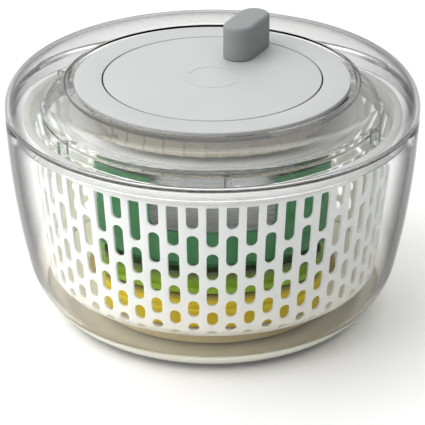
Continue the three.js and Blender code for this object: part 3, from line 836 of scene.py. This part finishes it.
class SPINNER_OT_trays(bpy.types.Operator):
    """Three preparation trays stacked in the basket, and their steel plates"""

    bl_idname = "spinner.trays"
    bl_label = "Trays"

    def execute(self, context):
        need(["slicer_tray", "slicer_bed", "shredder_tray", "grater_tray"])
        _, colours = settings()

        bm = bmesh.new()
        inner = tray_plan(97, 72)
        tray_wall(bm, inner, TRAY_WALL, 74, 128)
        wall = finish_mesh("green_wall", bm)
        bm = bmesh.new()
        grip = rounded([(-38, 94, 8), (38, 94, 8), (38, 133), (-38, 133)], 6)
        upright = Matrix.Rotation(math.radians(90), 4, "X")
        extruded(bm, grip, -120, 120, upright)
        carved(wall, finish_mesh("grip_cutter", bm))
        bm = bmesh.new()
        bm.from_mesh(wall.data)
        bmesh.ops.scale(bm, vec=(1 / MM, 1 / MM, 1 / MM), verts=bm.verts)
        bpy.data.objects.remove(wall)
        tray_floor(bm, offset(inner, 0.6, True), 74, 76.4, GREEN_WINDOW)
        tray_wall(bm, tray_plan(88, 63), TRAY_WALL, 66, 74.6)
        green = finish_mesh("green_tray", bm)
        settle(green, "basket", tray_plastic("green plastic", colours.green), "green_plastic", "slicer_tray")

        bm = bmesh.new()
        plan = tray_plan(93, 68)
        tray_wall(bm, plan, TRAY_WALL, 50.5, 65.7)
        tray_wall(bm, tray_plan(97, 72), 5, 53, 56.4)
        tray_floor(bm, offset(plan, 0.6, True), 50.5, 52.9, SMALL_WINDOW)
        lime = finish_mesh("lime_tray", bm)
        # Painted shadow under the green tray deepens the lime tray's top.
        plastic = tray_plastic("lime plastic", colours.lime, dark=(0.057, 0.065))
        settle(lime, "basket", plastic, "lime_plastic", "shredder_tray")

        bm = bmesh.new()
        tray_wall(bm, plan, TRAY_WALL, 27, 50.2)
        tray_wall(bm, tray_plan(96.5, 71.5), 5, 38.6, 41.6)
        tray_wall(bm, tray_plan(79, 59), TRAY_WALL, 11.2, 27.6)
        tray_floor(bm, offset(plan, 0.6, True), 27, 29.4, SMALL_WINDOW)
        yellow = finish_mesh("yellow_tray", bm)
        # Painted shadow under the lime tray deepens the yellow tray's top.
        plastic = tray_plastic("yellow plastic", colours.yellow, dark=(0.044, 0.05))
        settle(yellow, "basket", plastic, "yellow_plastic", "grater_tray")

        paint_packed(steel(), "slicer_bed", "slicer_blade", "shredder_plate", "grater_plate", bevel=0.0001)
        return {"FINISHED"}


# ---- Lid ------------------------------------------------------------------------------------


class SPINNER_OT_lid(bpy.types.Operator):
    """Clear lid: rounded shoulder, recess for the gear unit, ledge, skirt and bayonet notches"""

    bl_idname = "spinner.lid"
    bl_label = "Lid"

    def execute(self, context):
        need(["lid_shell"])
        top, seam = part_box("lid_shell")[1].z / MM, RIM_HEIGHT
        shoulder = arc(114, seam + 2, RIM_RADIUS - 114, top - seam - 2, 0, 90, 24)
        hollow = arc(114, seam + 2, 15.7, 14.8, 90, 0, 20)
        outline = [(RIM_RADIUS - 0.2, seam), (RIM_RADIUS, seam + 0.3), (RIM_RADIUS, seam + 0.8)] + shoulder
        outline += rounded(
            [
                (104, DECK + 0.9),
                (RECESS, DECK, 0.8),
                (RECESS, LEDGE, 0.6),
                (84.6, LEDGE, 0.5),
                (84.6, LEDGE - 2.6, 0.5),
                (94.4, LEDGE - 2.6, 0.8),
                (94.4, DECK - 2.6, 1.2),
            ]
        )[1:-1]
        outline += hollow
        outline += rounded([(126.9, seam - 1), (126.9, 131, 0.5), (128.9, 131, 0.5), (128.9, seam, 0.3)])
        bm = bmesh.new()
        revolved(bm, outline)
        lid = finish_mesh("clear_lid", bm, 30)
        bm = bmesh.new()
        for half in (0, 180):
            centre, reach = -54 + half, 13.5
            notch = arc(0, 0, 90.9, 90.9, centre - reach, centre + reach, 12)
            notch += arc(0, 0, 82, 82, centre + reach, centre - reach, 12)
            extruded(bm, notch, LEDGE - 5, LEDGE + 1)
        carved(lid, finish_mesh("notch_cutter", bm))
        clear = finish_named(
            "clear lid plastic", clear_plastic, bend=1.3, light=0.75, slope=0.5, edge=0.08, ripple=0.3
        )
        settle(lid, "lid", clear, "clear_plastic", "lid_shell")
        # Painted shade on the lid's lower edge, where it meets the bowl's rim.
        shade_faces(lid, dark_edge(), lambda radius, height: radius > RIM_EDGE and height < seam + 0.6)
        return {"FINISHED"}


# ---- Gear unit ------------------------------------------------------------------------------


class SPINNER_OT_gear_unit(bpy.types.Operator):
    """Ribbed housing, the grey ring over it and the screws between them"""

    bl_idname = "spinner.gear_unit"
    bl_label = "Gear unit"

    def execute(self, context):
        need(["gear_housing", "cover_ring"])
        sizes, colours = settings()
        floor, brim = 140.0, LEDGE
        outside = [(6.8, 137.6), (10, 137.6, 0.6), (10, floor, 0.6), (83, floor, 1), (83, brim, 0.5)]
        inside = [(81.2, brim, 0.5), (81.2, 142.4, 0.8), (73, 142.4, 0.8)]
        collar = [(73, 151.1, 0.4), (71, 151.1, 0.4), (71, 142.4, 0.8), (6.8, 142.4)]
        bm = bmesh.new()
        revolved(bm, rounded(outside + inside + collar), 160)
        for k in range(sizes.housing_ribs):
            angle = 2 * math.pi * (k + 0.5) / sizes.housing_ribs
            place = Matrix.Rotation(angle, 4, "Z") @ Matrix.Translation((82.6, 0, 0))
            extruded(bm, round_bar(3, 5.6, 1.1, 3), floor + 0.2, brim - 2.9, place)
        for half in (0, 180):
            start, end = half - 38, half - 14
            lug = arc(0, 0, 90, 90, start, end, 14) + arc(0, 0, 82, 82, end, start, 14)
            extruded(bm, lug, brim - 5.9, brim - 2.9)
        housing = finish_mesh("ribbed_housing", bm)
        cream = finish_named("housing cream", moulded, tuple(colours.housing), 0.4)
        settle(housing, "gear_unit", cream, "cream_plastic", "gear_housing")
        shade_faces(housing, cover_grey(), lambda radius, height: radius > 84.3)

        bm = bmesh.new()
        ring = [(70.4, DECK - 3, 0.3), (88, DECK - 3, 0.4), (88, DECK, 0.9), (70.4, DECK, 0.5)]
        revolved(bm, rounded(ring))
        cover = finish_mesh("cover_band", bm)
        settle(cover, "gear_unit", cover_grey(), "cover_grey", "cover_ring")
        paint_packed(steel(), "shaft_bush", *[f"cover_screw_{k}" for k in (1, 2, 3, 4)])
        return {"FINISHED"}


# ---- Crank ----------------------------------------------------------------------------------


def turn_arrow(bm, radius, start, end, width, bottom, top):
    """Adds a raised arrow that follows a circle."""
    steps = 14
    head = math.degrees(width * 2.2 / radius)
    rim = arc(0, 0, radius + width / 2, radius + width / 2, start, end - head, steps)
    tip = [polar(radius + width * 1.4, math.radians(end - head)), polar(radius, math.radians(end))]
    tip.append(polar(radius - width * 1.4, math.radians(end - head)))
    back = arc(0, 0, radius - width / 2, radius - width / 2, end - head, start, steps)
    extruded(bm, rim + tip + back, bottom, top)


class SPINNER_OT_crank(bpy.types.Operator):
    """Crank disc with a faint pair of turning arrows"""

    bl_idname = "spinner.crank"
    bl_label = "Crank disc"

    def execute(self, context):
        need(["crank_disc"])
        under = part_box("crank_disc")[0].z / MM
        outline = [(0, under), (74, under, 0.3), (74, LEDGE, 0.3)]
        outline += [(69.5, LEDGE), (69.5, DECK, 0.5), (0, DECK)]
        bm = bmesh.new()
        revolved(bm, rounded(outline))
        for start in (20, 200):
            turn_arrow(bm, 17, start, start + 140, 1.8, DECK - 0.5, DECK + 0.14)
        disc = finish_mesh("crank_plate", bm)
        settle(disc, "crank", cover_grey(), "cover_grey", "crank_disc")
        # Painted shade: the flange under the disc's edge is black, so the gap round the disc reads as
        # shadowed.
        shadow = finish_named("seal black", rubber, (0.02, 0.02, 0.02))
        shade_faces(disc, shadow, lambda radius, height: radius > 69 and height < DECK - 0.6)
        return {"FINISHED"}


# ---- Knob -----------------------------------------------------------------------------------


class SPINNER_OT_knob(bpy.types.Operator):
    """Turning knob, its pin and its clip"""

    bl_idname = "spinner.knob"
    bl_label = "Knob"

    def execute(self, context):
        need(["knob", "knob_pin", "knob_clip"])
        sizes, colours = settings()
        low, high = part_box("knob")
        middle = (low + high) / 2 / MM
        angle = math.atan2(middle.y, middle.x)
        bottom, top = low.z / MM, high.z / MM
        width, reach = 20.5, 11.2
        edge = sizes.knob_edge / MM

        def plan(inset):
            radius = width / 2 - inset
            return arc(reach, 0, radius, radius, -90, 90, 28) + arc(-reach, 0, radius, radius, 90, 270, 28)

        levels = [(0.5, bottom), (0.12, bottom + 0.15), (0, bottom + 0.5)]
        levels += [(0, bottom + (top - edge - bottom) * k / 4) for k in (1, 2, 3)]
        for k in range(9):
            t = math.pi / 2 * k / 8
            levels.append((edge * (1 - math.cos(t)), top - edge + edge * math.sin(t)))
        sections = [[(x, y, z) for x, y in plan(inset)] for inset, z in levels]
        bm = bmesh.new()
        place = Matrix.Translation((middle.x, middle.y, 0)) @ Matrix.Rotation(angle, 4, "Z")
        lofted(bm, sections, place=place)
        grip = finish_mesh("turning_knob", bm, 50)
        soft = finish_named("knob grey", moulded, tuple(colours.knob), 0.55, 0.2)
        settle(grip, "knob", soft, "knob_grey", "knob")
        paint_packed(steel(), "knob_pin", "knob_clip")
        return {"FINISHED"}


# ---- Gear train and drive plate -------------------------------------------------------------


class SPINNER_OT_gear_train(bpy.types.Operator):
    """Ring gear, idlers, sun gear, their pins and the shaft"""

    bl_idname = "spinner.gear_train"
    bl_label = "Gear train"

    def execute(self, context):
        acetal = finish_named("gear plastic", moulded, (0.83, 0.8, 0.7), 0.45)
        idlers = [f"idler_gear_{k}" for k in (1, 2, 3)]
        pins = [f"idler_pin_{k}" for k in (1, 2, 3)] + [f"ring_gear_screw_{k}" for k in (1, 2, 3)]
        need(idlers + pins + ["ring_gear", "sun_gear", "drive_shaft"])
        paint_packed(acetal, "ring_gear", "sun_gear", *idlers)
        paint_packed(steel(), "drive_shaft", "drive_nut", "drive_washer", *pins)
        return {"FINISHED"}


class SPINNER_OT_drive_plate(bpy.types.Operator):
    """White plate on the shaft, and the clear ring on it whose lugs turn the basket"""

    bl_idname = "spinner.drive_plate"
    bl_label = "Drive plate"

    def execute(self, context):
        need(["drive_plate", "drive_ring"])
        _, colours = settings()
        low, high = 133.4, 135.2
        plate = [(4.3, 131, 0.3), (12, 131, 0.5), (12, low, 0.8), (98, low, 0.5), (98, high, 0.5)]
        plate += [(12, high, 0.8), (12, 137.3, 0.5), (4.3, 137.3, 0.3)]
        bm = bmesh.new()
        revolved(bm, rounded(plate))
        disc = finish_mesh("white_drive_plate", bm)
        white = finish_named("plate white", translucent, tuple(colours.basket))
        settle(disc, "driver", white, "white_plastic", "drive_plate")

        ring = [(93, 135.5, 0.3), (106.1, 135.5, 0.6), (106.1, 129.4, 0.5), (108.5, 129.4, 0.5)]
        ring += [(108.5, 141, 0.6), (106.1, 141, 0.6), (106.1, 137, 0.6), (93, 137, 0.3)]
        bm = bmesh.new()
        revolved(bm, rounded(ring))
        for k in range(LUGS):
            turn = Matrix.Rotation(math.radians(FIRST_LUG + k * 360 / LUGS), 4, "Z")
            extruded(bm, round_bar(6.4, 4, 0.7, 3), 129.4, 140, turn @ Matrix.Translation((110.7, 0, 0)))
        hoop = finish_mesh("clear_drive_ring", bm)
        clear = finish_named(
            "clear drive plastic", clear_plastic, bend=1.3, light=0.95, slope=0.95, edge=0.6, ripple=0.1
        )
        settle(hoop, "driver", clear, "clear_plastic", "drive_ring")
        return {"FINISHED"}


# ---- Panel and registration -----------------------------------------------------------------

OPERATORS = (
    SPINNER_OT_stage,
    SPINNER_OT_bowl,
    SPINNER_OT_basket,
    SPINNER_OT_trays,
    SPINNER_OT_lid,
    SPINNER_OT_gear_unit,
    SPINNER_OT_crank,
    SPINNER_OT_knob,
    SPINNER_OT_gear_train,
    SPINNER_OT_drive_plate,
)


class SPINNER_PT_pieces(bpy.types.Panel):
    """Lists the spinner's pieces and settings"""

    bl_idname = "SPINNER_PT_pieces"
    bl_label = "Salad Spinner"
    bl_space_type = "VIEW_3D"
    bl_region_type = "UI"
    bl_category = "Spinner"

    def draw(self, context):
        for group in (context.scene.spinner_sizes, context.scene.spinner_colours):
            box = self.layout.box()
            for name in group.__annotations__:
                box.prop(group, name)
        for operator in OPERATORS:
            self.layout.operator(operator.bl_idname)


CLASSES = (SpinnerSizes, SpinnerColours, *OPERATORS, SPINNER_PT_pieces)


def register():
    for cls in CLASSES:
        bpy.utils.register_class(cls)
    bpy.types.Scene.spinner_sizes = bpy.props.PointerProperty(type=SpinnerSizes)
    bpy.types.Scene.spinner_colours = bpy.props.PointerProperty(type=SpinnerColours)


def unregister():
    del bpy.types.Scene.spinner_colours
    del bpy.types.Scene.spinner_sizes
    for cls in reversed(CLASSES):
        bpy.utils.unregister_class(cls)


def main():
    register()
    for operator in OPERATORS:
        group, name = operator.bl_idname.split(".")
        getattr(getattr(bpy.ops, group), name)()
    bpy.context.view_layer.update()


if __name__ == "__main__":
    main()
